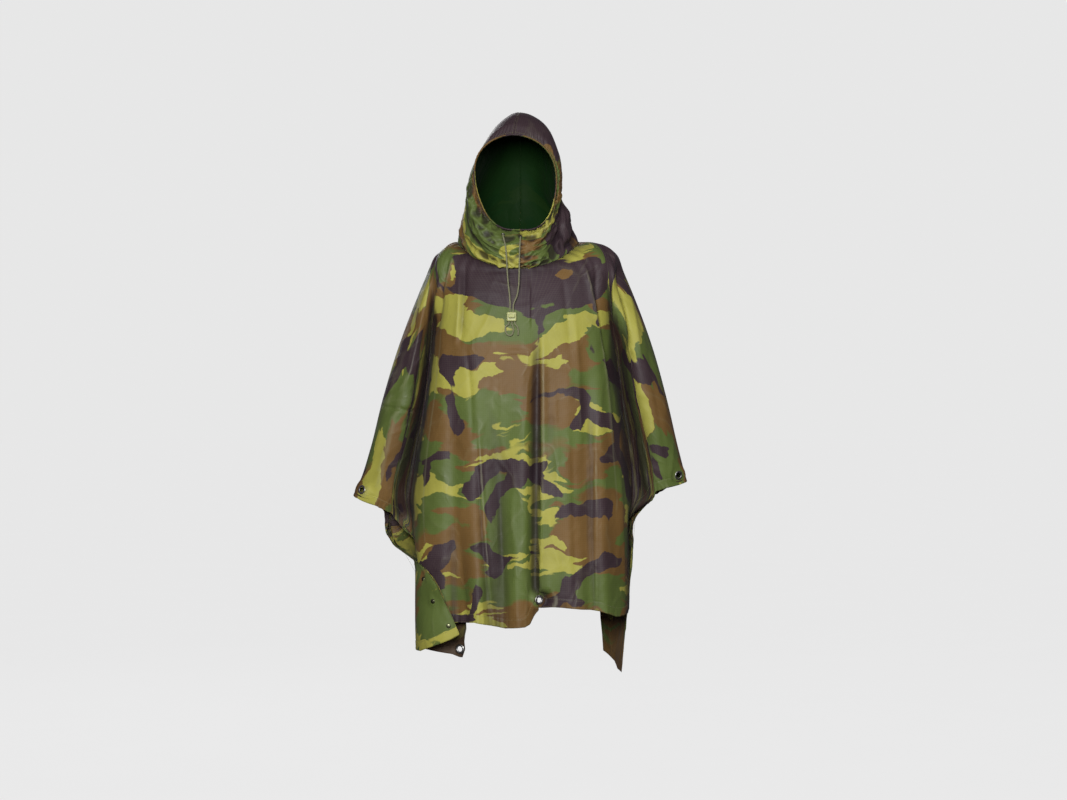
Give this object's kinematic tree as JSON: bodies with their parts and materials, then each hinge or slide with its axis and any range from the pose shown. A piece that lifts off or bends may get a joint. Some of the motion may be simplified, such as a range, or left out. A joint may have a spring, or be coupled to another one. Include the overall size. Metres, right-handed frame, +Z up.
{
  "type": "rain poncho",
  "caption": "Hooded woodland-camouflage rain poncho, worn with the arms a little out, with a drawcord hood, grommets and side snaps.",
  "frame": {"origin": "middle of the neck seam, level with the shoulder line, where the wearer carries the poncho", "axes": "+Z up to the crown of the hood, -Y out of the front of the garment, +X to the right as seen from the front"},
  "size_m": [0.8011, 0.3737, 1.34],
  "materials": {
    "camo_nylon": null,
    "grommet_steel": "nickel-plated, satin",
    "olive_cord": "braided, matte",
    "lock_plastic": "moulded, satin",
    "snap_brass": "olive lacquer"
  },
  "bodies": {
    "root": {"front_panel": "camo_nylon", "back_panel": "camo_nylon", "hood_left": "camo_nylon", "hood_right": "camo_nylon", "hood_face_hem": "camo_nylon", "grommet_wing_left": "grommet_steel", "grommet_wing_right": "grommet_steel", "grommet_hem_front": "grommet_steel", "grommet_corner_front_left": "grommet_steel", "grommet_hem_back": "grommet_steel", "chin_eyelet_left": "grommet_steel", "chin_eyelet_right": "grommet_steel", "snap_left_top": "snap_brass", "snap_left_middle": "snap_brass", "snap_left_low": "snap_brass", "drawcord_left": "olive_cord", "drawcord_right": "olive_cord", "drawcord_loop": "olive_cord", "drawcord_tail": "olive_cord", "cord_lock": "lock_plastic", "cord_lock_button": "lock_plastic"}
  },
  "joints": []
}
